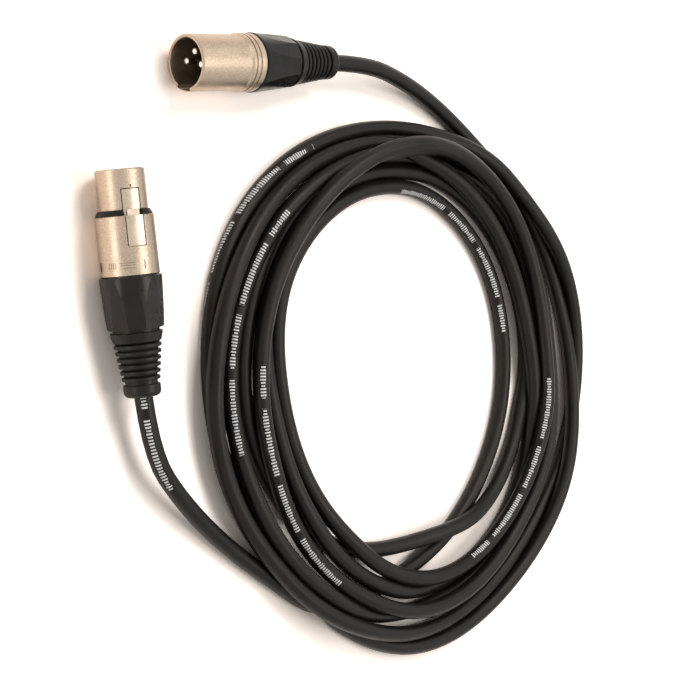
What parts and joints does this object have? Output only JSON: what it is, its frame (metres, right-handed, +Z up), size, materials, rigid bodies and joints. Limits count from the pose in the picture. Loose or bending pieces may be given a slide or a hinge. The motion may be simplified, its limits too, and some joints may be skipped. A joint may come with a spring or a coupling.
{
  "type": "coiled microphone cable",
  "caption": "Coiled balanced microphone cable with a male and a female three-pole locking connector, laid flat.",
  "frame": {"origin": "on the table under the middle of the coil's eye", "axes": "+Z up from the table; the male connector's open face looks towards -X and the female nose towards +Y"},
  "size_m": [0.2512, 0.2382, 0.0205],
  "materials": {
    "shell_nickel": "satin nickel with a fine grain",
    "latch_metal": "satin nickel",
    "contact_metal": "bright plated",
    "insert_black": "matte moulded",
    "boot_hard": "satin moulded",
    "boot_soft": "matte elastomer",
    "collet_plastic": "natural moulded",
    "cable_jacket": "matte with a faint grain and small white ticks",
    "ring_rubber": "matte",
    "spring_steel": "bright",
    "wire_red": "satin insulation",
    "wire_white": "satin insulation",
    "wire_copper": "twisted bare copper"
  },
  "bodies": {
    "cable": {"coil": "cable_jacket", "female_cable_end": "cable_jacket", "female_gap_ring": "ring_rubber", "female_insert": "insert_black", "female_latch_pivot": "spring_steel", "female_latch_spring": "spring_steel", "female_lead": "cable_jacket", "female_nose": "shell_nickel", "female_shell": "shell_nickel", "female_socket_1": "contact_metal", "female_socket_2": "contact_metal", "female_socket_3": "contact_metal", "female_wire_cold": "wire_white", "female_wire_hot": "wire_red", "female_wire_shield": "wire_copper", "male_cable_end": "cable_jacket", "male_insert": "insert_black", "male_lead": "cable_jacket", "male_pin_1": "contact_metal", "male_pin_2": "contact_metal", "male_pin_3": "contact_metal", "male_shell": "shell_nickel", "male_wire_cold": "wire_white", "male_wire_hot": "wire_red", "male_wire_shield": "wire_copper"},
    "male_collet": {"male_collet": "collet_plastic"},
    "male_boot": {"male_boot_nut": "boot_hard", "male_boot_sleeve": "boot_soft"},
    "female_collet": {"female_collet": "collet_plastic"},
    "female_boot": {"female_boot_nut": "boot_hard", "female_boot_sleeve": "boot_soft"},
    "latch": {"female_latch": "latch_metal"}
  },
  "joints": [
    {"name": "latch_push", "type": "hinge", "parent": "cable", "child": "latch", "pos_m": [-0.13068, 0.063, 0.01611], "axis": [-0.9613, 0, -0.2756], "range_deg": [0, 3.2], "stiffness_Nm_per_rad": 0.5, "deforming": ["female_latch_spring"]},
    {"name": "male_collet_slide", "type": "slide", "parent": "cable", "child": "male_collet", "axis": [1, 0, 0], "range_m": [0, 0.0045]},
    {"name": "male_boot_screw", "type": "hinge", "parent": "male_collet", "child": "male_boot", "pos_m": [-0.0692, 0.123, 0.01025], "axis": [1, 0, 0], "range_deg": [0, 1080]},
    {"name": "female_collet_slide", "type": "slide", "parent": "cable", "child": "female_collet", "axis": [0, -1, 0], "range_m": [0, 0.0045]},
    {"name": "female_boot_screw", "type": "hinge", "parent": "female_collet", "child": "female_boot", "pos_m": [-0.129, 0.0553, 0.01025], "axis": [0, -1, 0], "range_deg": [0, 1080]}
  ],
  "couplings": [
    {"joint": "male_collet_slide", "follows": "male_boot_screw", "m_per_rad": 0.0002387},
    {"joint": "female_collet_slide", "follows": "female_boot_screw", "m_per_rad": 0.0002387}
  ]
}
